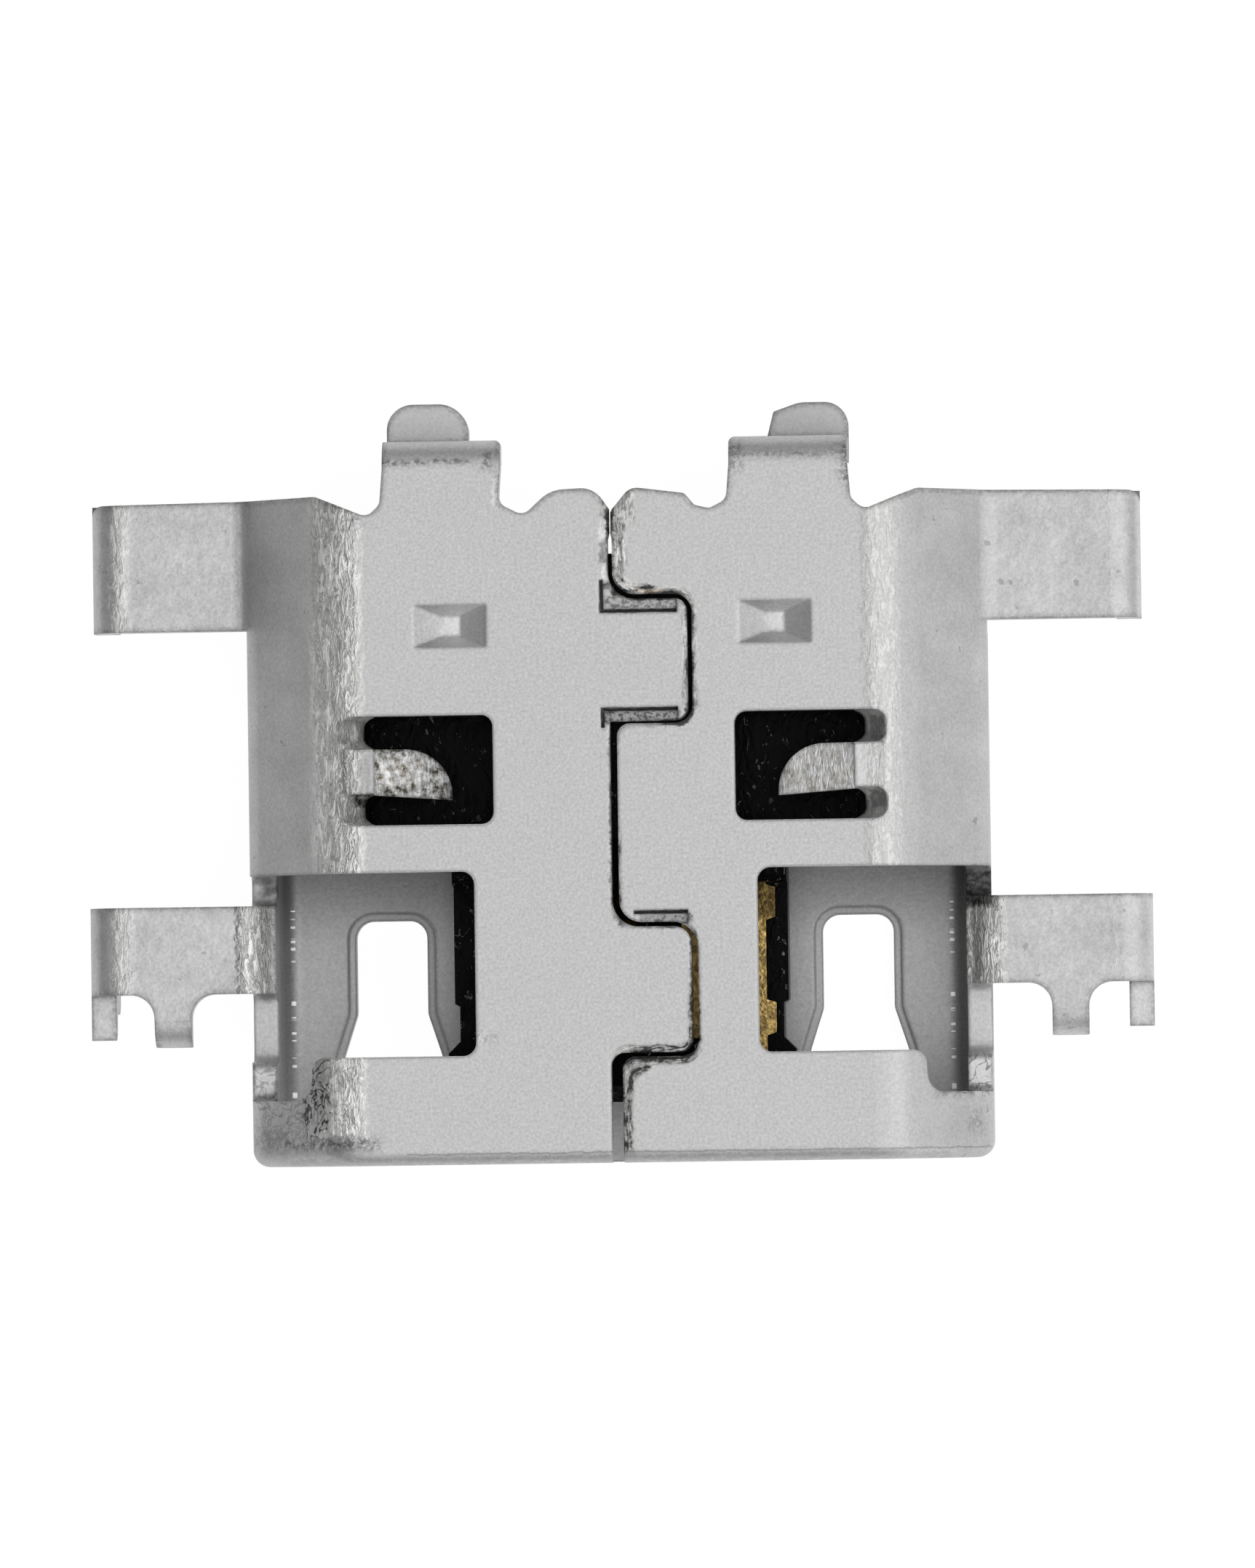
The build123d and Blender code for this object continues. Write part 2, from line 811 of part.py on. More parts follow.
def make_contact(index):
    """One gold-plated contact."""
    return contact_place(index) * contact_form(0, contact_front(index), tail_end)


def lance_pocket():
    """Recess in the top of the housing under the right lance window."""
    inner = lance_window_inner - pocket_margin
    outer = narrow_half + pocket_margin
    front = lance_window_front - pocket_margin
    rear = lance_window_rear + pocket_margin
    floor = shell_height - sheet - pocket_depth
    plan = outline([
        (inner, front, lance_window_corner),
        (outer, front, lance_window_corner),
        (outer, rear, lance_window_corner),
        (inner, rear, lance_window_corner),
    ])
    return upward(plan, floor, far_above)


def make_housing():
    """Black moulding: tongue, root step, block that fills the shell, and rear block."""
    gap = sheet + housing_clearance
    block_section = mouth_section(gap)
    body = along_y(block_section, housing_front, lower_block_rear)
    above_board = Pos(0, board_level + far_above / 2) * Rectangle(
        2 * rear_block_half_width, far_above)
    rear_section = block_section & above_board
    body += along_y(rear_section, lower_block_rear, housing_rear)
    tongue_top = tongue_level
    tongue_low = tongue_level - tongue_thickness
    tongue_side = outline([
        (tongue_front, tongue_low + tongue_lead_in, 0),
        (tongue_front + tongue_lead_in, tongue_low, 0),
        (housing_front + sheet, tongue_low, 0),
        (housing_front + sheet, tongue_top, 0),
        (tongue_front + tongue_lead_in, tongue_top, 0),
        (tongue_front, tongue_top - tongue_lead_in, 0),
    ])
    tongue = along_x(tongue_side, -narrow_half, narrow_half)
    body += tongue & upward(tongue_plan(), far_below, far_above)
    step = block((-tongue_half_width, tongue_half_width),
                 (housing_front - root_step_length, housing_front + sheet),
                 (tongue_low, tongue_top + root_step_height))
    step_edges = step.edges().filter_by(Axis.X).group_by(Axis.Y)[0].sort_by(Axis.Z)[-1:]
    body += fillet(step_edges, housing_edge_radius)
    body -= both_sides(lance_pocket())
    for side in (-1, 1):
        body -= dimple_form(side, shell_height - sheet, housing_clearance)
    for index in range(contact_count):
        front = contact_front(index)
        body -= contact_place(index) * contact_form(contact_clearance, front, tail_end)
    return body


def write(node, solid):
    """One STEP file per piece, with the middle of the socket's depth at Y zero."""
    export_step(Pos(0, -overall_depth / 2, 0) * solid, f"parts/{node}.step")


os.makedirs("parts", exist_ok=True)
write("shell", make_shell())
write("housing", make_housing())
for number in range(contact_count):
    write(f"contact_{number + 1}", make_contact(number))
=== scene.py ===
"""Looks of a mid-mount micro USB socket: tinned steel shell, black moulding and gold contacts.

Everything is in metres, in the part's own frame: X across the mouth, Y towards the rear and
Z from the wide face up to the narrow face with the seam. Places in the materials are in
millimetres of that frame.
"""
import math

import bpy
from mathutils import Matrix, Vector

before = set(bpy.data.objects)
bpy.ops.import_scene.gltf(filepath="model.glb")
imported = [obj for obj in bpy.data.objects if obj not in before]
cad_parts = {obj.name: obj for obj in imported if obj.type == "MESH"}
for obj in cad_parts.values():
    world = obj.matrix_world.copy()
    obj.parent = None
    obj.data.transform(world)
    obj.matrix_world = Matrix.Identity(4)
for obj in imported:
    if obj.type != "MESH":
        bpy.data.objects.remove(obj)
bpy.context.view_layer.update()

MM = 0.001
AXIS_X = (1.0, 0.0, 0.0)
AXIS_Y = (0.0, 1.0, 0.0)
AXIS_Z = (0.0, 0.0, 1.0)

# View: almost straight down on the narrow face, mouth towards the bottom of the picture
view_yaw = math.radians(2.3)
view_pitch = math.radians(1.5)
view_roll = math.radians(0.82)
view_distance = 120 * MM
view_aim = Vector((0.1347, -0.0513, 2.35)) * MM
film_size = 36.0
film_scale = 276.5

# Studio: a soft dome, bright overhead and to the right, dark low on the left
light_tilt = math.radians(30)
light_turn = math.radians(-14)
dome_bright = 1.60
dome_dark = 0.03
dome_start = 0.40
dome_end = 0.95
floor_half_size = 400 * MM
floor_colour = 0.88
floor_seen_colour = 0.10
floor_glow = 0.96

# Steel levels
steel_level = 0.60
steel_metallic = 0.5
steel_roughness = 0.45
darkest_level = 0.03
# Painted shade inside the shell: levels at its front and rear, and by the side walls
inside_front = 0.80
inside_rear = 0.53
wall_shade = 0.72
# Painted shade on the slanted faces, left and right
slant_left = 0.94
slant_right = 0.88
edge_radius = 0.055 * MM
edge_shade_radius = 0.11 * MM
relief_depth = 0.03 * MM

# How far each layer moves the level of the plating, up and down or one way
grain_swing = 0.28
mottle_swing = 0.26
cloud_swing = 0.03
slant_cloud_swing = 0.22
dimple_painted_swing = 0.22
fold_swing = 1.5
crinkle_lift = 0.20
crack_drop = 0.34
tear_blot_swing = 1.2
tear_streak_swing = 2.6
lance_blot_swing = 2.0
# Painted light lifting the slanted faces
slant_painted_lift = 0.02
# Painted glints inside the shell
glint_lift = 1.5

# Strengths from one zone to the next: left to right, rear to front, or off to on
wing_lift = (0.03, 0.05)
wing_end_crinkle = (0.5, 0.12)
lance_crinkle = 0.45
lance_blots = (1.0, 0.9)
lance_browns = (1.0, 0.4)
lance_tones = (-0.38, 0.14)
tear_tones = (-0.18, -0.46)
mottle_strengths = (0.15, 0.75)
seam_soot_and_shade_strengths = (0.20, 0.9)
corner_shade_strengths = (0.85, 1.0)
edge_shade_strengths = (0.20, 0.60)
wing_edge_shade = 0.8
speck_strength = 0.30

# Where a noise shows as marks, from none to full
fleck_noise = (0.40, 0.58)
uneven_noise = (0.40, 0.60)
speck_noise = (0.30, 0.27)
brown_noise = (0.50, 0.38)
dash_noise = (0.54, 0.60)
crack_width = (0.10, 0.02)
fold_crack_width = (0.10, 0.0)
seam_soot_and_shade_fray = 0.10
tear_fade = 0.05
tear_end_fade = 0.04

# Black moulding and gold plating
plastic_level = 0.001
# Painted glints on the black moulding
spark_lift = 0.22
gold_light = (0.66, 0.46, 0.17, 1.0)
gold_dark = (0.26, 0.18, 0.07, 1.0)
barb_rear = (-1.45, -1.36)
barb_shades = (0.95, 0.30)
plastic_roughness = (0.25, 0.45)
gold_roughness = (0.28, 0.42)
gold_relief_depth = 0.01 * MM

# Tints of the plating
no_tint = (1.0, 1.0, 1.0, 1.0)
beige_tint = (1.0, 1.0, 0.975, 1.0)
brown_tint = (1.12, 1.0, 0.80, 1.0)
rust_tint = (1.05, 0.75, 0.45, 1.0)

# Wander of the borders between marks: noise scale, place of the second noise, widths
wander_scale = 11.0
wander_offset = (7.3, 3.1, 5.7)
rough_wander = 0.13
crisp_wander = 0.04

# Zones of the shell, each from where its mask is 0 to where it is 1, in millimetres:
# x, y, z, the distance to either side of the middle, or that distance plus the height
to_right = (-0.1, 0.1)
over_ledges = (0.7, 0.8)
over_windows = (1.22, 1.30)
on_narrow_face = (2.2, 2.3)
wing_level = (1.2, 1.3)
on_wings = (3.74, 3.80)
slant_side = (2.95, 3.10)
slant_top = (2.24, 2.16)
inside_side = (3.50, 3.44)
inside_bottom = (0.04, 0.12)
inside_top = (2.08, 2.00)
inside_slant = (4.95, 4.90)
lance_root = (2.66, 2.58)
lance_tip = (1.45, 1.55)
lance_top = (2.345, 2.30)
lance_bottom = (1.70, 1.80)
pressed_in = (2.345, 2.335)
bend_height = (1.98, 2.10)
bend_front = (-1.4, -1.2)
wing_root_start = (3.46, 3.54)
wing_root_end = (3.88, 3.80)
wing_root_height = (1.10, 1.25)
wing_end_start = (4.86, 4.98)
wing_end_end = (5.16, 5.02)
front_wing_rear = (-1.1, -1.2)
front_wing_front = (-2.5, -2.4)
front_lock = (-1.9, -2.1)
seam_rear = (3.1, 3.0)
rear_outline = (2.60, 2.75)
seam_soot_and_shade_reach = (0.055, 0.025)
above_legs = (0.9, 1.0)
on_feet = (1.5, 1.4)
below_bends = (1.7, 1.6)
outer_surface = (4.90, 5.00)
inside_fade = (-0.9, -1.7)
side_wall = (3.30, 3.40)
glint_top = (0.9, 0.8)
glint_front = (-1.15, -1.25)
edge_turn = (1.0, 0.94)

# Row of the lances seen from above: centre, half sizes, fade
lance_row = (0, 0.05, 3.0, 0.29, 0.01)

# Crinkled plating where the sheet was bent: centre x, half width, strength
left_bend = (-2.76, 0.225, 1.0)
right_bend = (2.70, 0.17, 0.35)
bend_wobble = 0.07

# Edge of the left half along the seam, as on the built part
seam_edge = 0.035
seam_width = 0.045
seam_locks = ((1.186, 0.611), (-2.10, 0.6275))
lock_middle = -0.025
lock_half = 0.775
lock_corner = 0.13
lock_root = 0.35

# Torn plating beside the seam: centre x, centre y, half sizes, reach from the seam, strength
torn = (
    (0.20, 2.80, 0.30, 0.26, 0.23, 0.9),
    (0.20, 2.40, 0.26, 0.24, 0.14, 1.0),
    (0.20, 2.00, 0.22, 0.20, 0.09, 1.0),
    (0.40, 1.88, 0.40, 0.09, 0.06, 0.8),
    (0.78, 1.30, 0.12, 0.60, 0.05, 0.6),
    (0.70, -2.28, 0.12, 0.34, 0.035, 0.9),
    (0.40, -2.78, 0.42, 0.16, 0.07, 1.0),
    (0.16, -3.24, 0.16, 0.50, 0.13, 0.9),
    (0.08, -0.87, 0.12, 0.38, 0.05, 0.8),
)

# Marks, painted shade and painted highlights seen from above the narrow face: centre x, centre y,
# half sizes, fade, strength
# Painted shadow lines along the step walls of the coined ledges, at the pinch and at the lip
grooves = (
    (0.265, 1.677, 0.385, 0.018, 0.012, 0.85),
    (-0.102, 1.822, 0.018, 0.162, 0.012, 0.75),
    (0.265, 0.695, 0.385, 0.018, 0.012, 0.85),
    (-0.102, 0.612, 0.018, 0.100, 0.012, 0.75),
    (0.450, -1.330, 0.270, 0.018, 0.012, 0.85),
    (-0.0125, 2.72, 0.020, 0.14, 0.012, 0.80),
    (-0.06, 1.92, 0.045, 0.025, 0.015, 0.65),
    (0.80, -3.715, 2.90, 0.006, 0.010, 0.45),
)
soot = (
    (-1.84, 3.19, 0.46, 0.016, 0.040, 0.85),
    (-1.23, 3.20, 0.05, 0.08, 0.05, 0.60),
    (1.78, 3.22, 0.54, 0.020, 0.05, 0.55),
    (1.26, 3.20, 0.05, 0.14, 0.06, 0.50),
    (2.34, 3.12, 0.06, 0.20, 0.06, 0.45),
    (-2.66, 2.62, 0.20, 0.03, 0.06, 0.45),
    (-0.065, 2.26, 0.045, 0.10, 0.015, 0.60),
    (0.28, 1.77, 0.38, 0.07, 0.02, 0.70),
    (0.28, 0.62, 0.38, 0.06, 0.02, 0.85),
    (0.50, -1.395, 0.26, 0.035, 0.02, 0.75),
    (-2.99, -2.92, 0.09, 0.52, 0.08, 0.45),
    (-2.90, -3.60, 0.50, 0.05, 0.08, 0.75),
    (-3.40, -3.52, 0.28, 0.10, 0.10, 0.45),
    (-3.30, -3.08, 0.24, 0.03, 0.04, 0.60),
    (3.34, -3.16, 0.18, 0.03, 0.06, 0.55),
    (3.55, -3.45, 0.06, 0.12, 0.05, 0.30),
    (-1.90, -2.56, 0.70, 0.03, 0.04, 0.35),
)
# Painted shade in the coined ledges, the pinch and the slot ends, on the lance root, a wing end
# and bends that catch the light, and along the lip
shade = (
    (-0.065, 2.26, 0.045, 0.10, 0.015, 0.40),
    (0.28, 1.77, 0.38, 0.07, 0.015, 0.22),
    (0.28, 0.62, 0.38, 0.06, 0.015, 0.42),
    (0.50, -1.395, 0.26, 0.035, 0.02, 0.38),
    (-3.05, -2.92, 0.14, 0.52, 0.08, 0.30),
    (-3.36, -3.36, 0.26, 0.30, 0.08, 0.05),
    (5.24, 1.86, 0.07, 0.90, 0.05, 0.16),
    (-2.62, 0.51, 0.13, 0.13, 0.03, 0.50),
    (-2.62, -0.265, 0.13, 0.12, 0.03, 0.50),
    (2.63, 0.47, 0.08, 0.13, 0.03, 0.50),
    (2.63, -0.23, 0.08, 0.10, 0.03, 0.50),
    (-2.56, 0.06, 0.15, 0.24, 0.04, 0.26),
    (2.66, -3.10, 0.10, 0.70, 0.08, 0.08),
    (0.0, -3.785, 3.30, 0.030, 0.020, 0.16),
)
crumple = (
    (-2.75, -2.90, 0.20, 0.62, 0.06, 0.90),
    (-2.98, -2.93, 0.10, 0.50, 0.05, 0.60),
    (-2.00, -2.55, 0.65, 0.04, 0.05, 0.35),
)
# Lighter patches: painted highlights on the lances, the side-wall blocks and edges, and lighter
# plating on the dimple floors, the crinkled front left corner and the marks by the seam
bright = (
    (-1.155, 2.88, 0.018, 0.12, 0.02, 0.22),
    (0.19, 2.66, 0.03, 0.14, 0.05, 0.10),
    (-0.085, 2.50, 0.035, 0.11, 0.015, 0.22),
    (-0.06, 2.045, 0.035, 0.08, 0.015, 0.22),
    (-1.62, 1.553, 0.09, 0.09, 0.02, 0.12),
    (1.62, 1.553, 0.09, 0.09, 0.02, 0.12),
    (-2.72, -2.95, 0.13, 0.60, 0.06, 0.26),
    (-3.58, -3.00, 0.14, 0.18, 0.03, 0.12),
    (3.55, -3.00, 0.14, 0.18, 0.03, 0.16),
    (-2.15, 0.11, 0.22, 0.13, 0.06, 0.20),
    (2.05, 0.06, 0.50, 0.25, 0.04, 0.12),
    (2.37, 0.06, 0.04, 0.24, 0.03, 0.35),
    (2.10, 0.13, 0.012, 0.12, 0.03, 0.18),
    (1.86, 0.10, 0.02, 0.18, 0.03, 0.30),
)
# Painted light on the feet of the rear tabs, which lie in the shade of the tab bends
feet = (
    (-1.87, 3.62, 0.45, 0.22, 0.03, 0.55),
    (1.95, 3.62, 0.45, 0.22, 0.03, 0.44),
)
cracked_corner = (
    (-3.03, -2.95, 0.15, 0.60, 0.05, 0.95),
    (-3.40, -3.40, 0.30, 0.26, 0.06, 0.40),
    (-2.72, -2.95, 0.16, 0.60, 0.05, 0.40),
)
cracked = (
    (-3.58, -3.00, 0.16, 0.20, 0.04, 0.40),
    (3.55, -3.00, 0.16, 0.20, 0.04, 0.60),
    (3.57, -1.08, 0.18, 0.18, 0.05, 0.50),
    (-3.56, -1.02, 0.12, 0.12, 0.05, 0.40),
)
rust = (
    (0.38, 1.865, 0.12, 0.010, 0.030, 0.80),
)
# Painted shadow over the contact under the seam
gold_painted_shadow = (
    (0.06, -1.20, 0.26, 0.60, 0.05, 0.90),
)
# Painted shade in the rear corners of the windows and along the wing roots
corner_shade = (
    (-3.52, -1.02, 0.12, 0.09, 0.06, 0.75),
    (3.57, -1.12, 0.20, 0.20, 0.05, 0.95),
    (-3.57, -1.65, 0.09, 0.50, 0.04, 0.42),
    (3.58, -1.65, 0.06, 0.50, 0.04, 0.25),
)

# Dimples pressed into the narrow face
dimple_places = (-1.655, 1.655)
dimple_row = 1.553
dimple_reach = (0.38, 0.30, 0.01)
dimple_middle = (-0.3, 0.3)

# Rows of tiny painted glints along the bends inside the shell
glint_places = (-3.366, 3.317)
glint_half_width = 0.014


class Nodes:
    """Short calls that add shader nodes to one tree."""

    def __init__(self, tree):
        self.tree = tree
        tree.nodes.clear()

    def add(self, kind, inputs=(), **settings):
        node = self.tree.nodes.new(kind)
        for name, value in settings.items():
            setattr(node, name, value)
        for key, value in dict(inputs).items():
            self.put(node.inputs[key], value)
        return node

    def put(self, socket, value):
        if isinstance(value, bpy.types.NodeSocket):
            self.tree.links.new(value, socket)
        else:
            socket.default_value = value

    def math(self, operation, *values):
        inputs = dict(enumerate(values))
        return self.add("ShaderNodeMath", inputs, operation=operation).outputs[0]

    def vector_math(self, operation, *values):
        inputs = dict(enumerate(values))
        return self.add("ShaderNodeVectorMath", inputs, operation=operation).outputs[0]

    def along(self, axis, vector):
        """The part of a vector along an axis."""
        node = self.add("ShaderNodeVectorMath", {0: vector, 1: axis}, operation="DOT_PRODUCT")
        return node.outputs["Value"]

    def step(self, value, low, high):
        """0 below low, 1 above high, smooth between; falls where high is the lower."""
        ends = {"From Min": min(low, high), "From Max": max(low, high), "Value": value}
        if high < low:
            ends.update({"To Min": 1.0, "To Max": 0.0})
        node = self.add("ShaderNodeMapRange", ends, interpolation_type="SMOOTHSTEP")
        return node.outputs["Result"]

    def lerp(self, value, low, high):
        """From low at 0 to high at 1."""
        ends = {"Value": value, "To Min": low, "To Max": high}
        return self.add("ShaderNodeMapRange", ends).outputs["Result"]

    def product(self, *values):
        result = values[0]
        for value in values[1:]:
            result = self.math("MULTIPLY", result, value)
        return result

    def total(self, *values):
        result = values[0]
        for value in values[1:]:
            result = self.math("ADD", result, value)
        return result

    def highest(self, *values):
        result = values[0]
        for value in values[1:]:
            result = self.math("MAXIMUM", result, value)
        return result

    def swing(self, value, amount):
        """A noise of 0 to 1 turned into plus or minus half the amount."""
        return self.math("MULTIPLY", self.math("SUBTRACT", value, 0.5), amount)

    def noise(self, place, scale, detail=2.0, roughness=0.5, distortion=0.0):
        inputs = {"Vector": place, "Scale": scale, "Detail": detail,
                  "Roughness": roughness, "Distortion": distortion}
        return self.add("ShaderNodeTexNoise", inputs).outputs[0]

    def stretched(self, place, x, y, z):
        return self.vector_math("MULTIPLY", place, (x, y, z))

    def tinted(self, colour, level):
        """A fixed colour scaled by a level."""
        node = self.add("ShaderNodeVectorMath", operation="SCALE")
        self.put(node.inputs[0], colour)
        self.put(node.inputs["Scale"], level)
        return node.outputs[0]

    def colour_mix(self, factor, first, second):
        node = self.add("ShaderNodeMix", data_type="RGBA")
        self.put(node.inputs["Factor"], factor)
        for key, value in (("A", first), ("B", second)):
            socket = [s for s in node.inputs if s.name == key and s.type == "RGBA"][0]
            self.put(socket, value)
        return [s for s in node.outputs if s.type == "RGBA"][0]

    def millimetres(self):
        """Place in the part's frame, in millimetres."""
        place = self.add("ShaderNodeTexCoord").outputs["Object"]
        return self.stretched(place, 1 / MM, 1 / MM, 1 / MM)

    def patch(self, place, x, y, half_x, half_y, fade):
        """1 inside a rectangle seen from above, 0 outside it, smooth across its border."""
        away = self.vector_math("ABSOLUTE", self.vector_math("SUBTRACT", place, (x, y, 0.0)))
        over = self.vector_math("SUBTRACT", away, (half_x, half_y, 0.0))
        return self.step(self.highest(self.along(AXIS_X, over), self.along(AXIS_Y, over)),
                         fade, -fade)

    def rounded_box(self, place, x, y, half_x, half_y, corner):
        """Distance from a rounded rectangle seen from above, minus inside it."""
        flat = self.stretched(self.vector_math("SUBTRACT", place, (x, y, 0.0)), 1.0, 1.0, 0.0)
        inner = (half_x - corner, half_y - corner, 0.0)
        over = self.vector_math("SUBTRACT", self.vector_math("ABSOLUTE", flat), inner)
        outside = self.vector_math("MAXIMUM", over, (0.0, 0.0, 0.0))
        length = self.add("ShaderNodeVectorMath", {0: outside}, operation="LENGTH")
        nearest = self.highest(self.along(AXIS_X, over), self.along(AXIS_Y, over))
        inside = self.math("MINIMUM", nearest, 0.0)
        return self.total(length.outputs["Value"], inside, -corner)

    def patches(self, place, table):
        """Strongest patch of a table at each place."""
        result = 0.0
        for row in table:
            mark = self.product(self.patch(place, *row[:5]), row[5])
            result = self.math("MAXIMUM", result, mark)
        return result

    def surface(self, **inputs):
        """Principled surface wired to the output. Names use _ for a space."""
        shader = self.add("ShaderNodeBsdfPrincipled")
        for name, value in inputs.items():
            self.put(shader.inputs[name.replace("_", " ")], value)
        output = self.add("ShaderNodeOutputMaterial")
        self.tree.links.new(shader.outputs[0], output.inputs[0])
        return shader


def new_material(name):
    material = bpy.data.materials.new(name)
    material.use_nodes = True
    return material, Nodes(material.node_tree)


def grey(level):
    return (level, level, level, 1.0)


def seam_distance(n, place):
    """Distance to the right of the left half's edge along the seam."""
    nearest = n.total(n.along(AXIS_X, place), seam_edge)
    for middle_y, half_y in seam_locks:
        box = n.rounded_box(place, lock_middle, middle_y, lock_half, half_y, lock_corner)
        nearest = n.math("SMOOTH_MIN", nearest, box, lock_root)
    return nearest


class Steel:
    """Layers of the tinned steel, over shared places, noises and zones."""

    def __init__(self, n):
        self.n = n
        self.place = n.millimetres()
        elsewhere = n.vector_math("ADD", self.place, wander_offset)
        shift = n.add("ShaderNodeCombineXYZ",
                      {0: n.swing(n.noise(self.place, wander_scale, detail=3.0), 1.0),
                       1: n.swing(n.noise(elsewhere, wander_scale, detail=3.0), 1.0)}).outputs[0]
        self.rough_place = n.vector_math("ADD", self.place,
                                         n.stretched(shift, rough_wander, rough_wander, 0.0))
        self.crisp_place = n.vector_math("ADD", self.place,
                                         n.stretched(shift, crisp_wander, crisp_wander, 0.0))
        self.x, self.y, self.z = [n.along(axis, self.place) for axis in (AXIS_X, AXIS_Y, AXIS_Z)]
        self.rough_x = n.along(AXIS_X, self.rough_place)
        self.side = n.math("ABSOLUTE", self.x)
        self.rough_side = n.math("ABSOLUTE", self.rough_x)
        self.side_and_height = n.total(self.side, self.z)

        self.grain = n.noise(self.place, 34.0, detail=1.0)
        self.mottle = n.noise(self.place, 9.0, detail=3.0, roughness=0.55)
        self.clouds = n.noise(self.place, 2.2, detail=2.0)
        self.blots = n.noise(self.place, 13.0, detail=4.0, roughness=0.65)
        self.flecks = n.step(n.noise(self.place, 20.0, detail=4.0, roughness=0.7), *fleck_noise)

        self.over_windows = n.step(self.z, *over_windows)
        self.over_ledges = n.step(self.z, *over_ledges)
        self.to_right = n.step(self.x, *to_right)
        self.on_wings = n.step(self.side, *on_wings)
        self.on_slants = n.product(n.step(self.side, *slant_side), n.step(self.z, *slant_top),
                                   n.step(self.z, *wing_level))
        self.within = n.product(n.step(self.side, *inside_side), n.step(self.z, *inside_bottom),
                                n.step(self.z, *inside_top),
                                n.step(self.side_and_height, *inside_slant))
        self.on_lances = n.product(n.step(self.side, *lance_root), n.step(self.side, *lance_tip),
                                   n.step(self.z, *lance_top), n.step(self.z, *lance_bottom),
                                   n.patch(self.place, *lance_row))
        self.blotched = n.product(self.on_lances, n.lerp(self.to_right, *lance_blots))
        self.crinkles()
        self.torn_seam()

    def crinkles(self):
        """Crinkled plating at the bends of the faces, the wings and the lances."""
        n = self.n
        bends = 0.0
        for centre, half, strength in (left_bend, right_bend):
            away = n.math("ABSOLUTE", n.math("SUBTRACT", self.rough_x, centre))
            band = n.step(away, half + bend_wobble, half - bend_wobble)
            bends = n.math("MAXIMUM", bends, n.product(band, strength))
        bends = n.product(bends, n.step(self.z, *bend_height), n.step(self.y, *bend_front))
        roots = n.product(n.step(self.rough_side, *wing_root_start),
                          n.step(self.rough_side, *wing_root_end),
                          n.step(self.y, *front_wing_rear), n.step(self.y, *front_wing_front),
                          n.step(self.z, *wing_root_height))
        ends = n.product(n.step(self.rough_side, *wing_end_start),
                         n.step(self.rough_side, *wing_end_end), n.step(self.z, *wing_level),
                         n.lerp(self.to_right, *wing_end_crinkle))
        crumpled = n.product(n.patches(self.rough_place, crumple), self.over_windows)
        self.crinkle = n.highest(bends, roots, ends,
                                 n.product(self.on_lances, lance_crinkle), crumpled)
        self.folds = n.noise(n.stretched(self.place, 1.0, 0.28, 0.6), 18.0, detail=3.0,
                             roughness=0.65, distortion=1.0)

    def torn_seam(self):
        """Torn plating, and soot with painted shade on the rolled edges, along the seam."""
        n = self.n
        seam = seam_distance(n, self.crisp_place)
        from_seam = n.math("ABSOLUTE", n.math("SUBTRACT", seam, seam_width / 2))
        flow = n.add("ShaderNodeCombineXYZ",
                     {0: seam, 1: n.product(n.math("SUBTRACT", self.x, self.y), 0.2)})
        self.streaks = n.noise(flow.outputs[0], 24.0, detail=3.0, roughness=0.65, distortion=0.6)
        tears = 0.0
        for centre_x, centre_y, half_x, half_y, reach, strength in torn:
            band = n.step(from_seam, reach + tear_fade, reach)
            where = n.patch(self.rough_place, centre_x, centre_y, half_x, half_y,
                            tear_end_fade)
            tears = n.math("MAXIMUM", tears, n.product(band, where, strength))
        self.tears = n.product(tears, self.over_windows)
        uneven = n.step(n.noise(self.place, 2.6, detail=2.0), *uneven_noise)
        # Soot and painted shade on the rolled edges beside the seam
        frayed = n.total(from_seam, n.swing(self.blots, seam_soot_and_shade_fray))
        self.seam_soot_and_shade = n.product(n.step(frayed, *seam_soot_and_shade_reach), n.step(self.z, *on_narrow_face),
                                   n.lerp(uneven, *seam_soot_and_shade_strengths),
                                   n.step(self.y, *seam_rear))

    def plating(self):
        """How light the plating is before soot and painted shade, with painted highlights,
        painted light on the feet, and painted light and shade on the dimple slopes and the
        slants.
        """
        n = self.n
        level = n.total(steel_level, n.swing(self.grain, grain_swing),
                        n.swing(self.clouds, cloud_swing),
                        n.product(self.on_wings, n.lerp(self.to_right, *wing_lift)))
        level = n.total(level, n.product(n.swing(self.mottle, mottle_swing),
                                         n.lerp(self.on_wings, *mottle_strengths)))
        # Clouds on the slants, with a painted lift of light
        slant_clouds_and_light = n.total(slant_painted_lift, n.swing(self.clouds, slant_cloud_swing))
        level = n.total(level, n.product(slant_clouds_and_light, self.on_slants))
        # Painted light on the right slopes of the dimples and painted shade on the left ones
        for centre_x in dimple_places:
            slopes = n.patch(self.place, centre_x, dimple_row, *dimple_reach)
            turned = n.step(n.math("SUBTRACT", self.x, centre_x), *dimple_middle)
            level = n.total(level, n.product(slopes, n.step(self.z, *pressed_in),
                                             n.swing(turned, dimple_painted_swing)))
        ridge = n.math("ABSOLUTE", n.swing(self.folds, 2.0))
        level = n.total(level, n.product(self.crinkle, crinkle_lift),
                        n.product(self.crinkle, n.swing(self.folds, fold_swing)),
                        n.product(self.crinkle, n.step(ridge, *fold_crack_width), -crack_drop))
        tear_tone = n.total(n.lerp(n.step(self.y, *front_lock), *tear_tones),
                            n.swing(self.blots, tear_blot_swing),
                            n.swing(self.streaks, tear_streak_swing))
        level = n.total(level, n.product(self.tears, tear_tone))
        level = n.total(level, n.product(self.blotched, n.swing(self.blots, lance_blot_swing)),
                        n.product(self.on_lances, n.lerp(self.to_right, *lance_tones)))
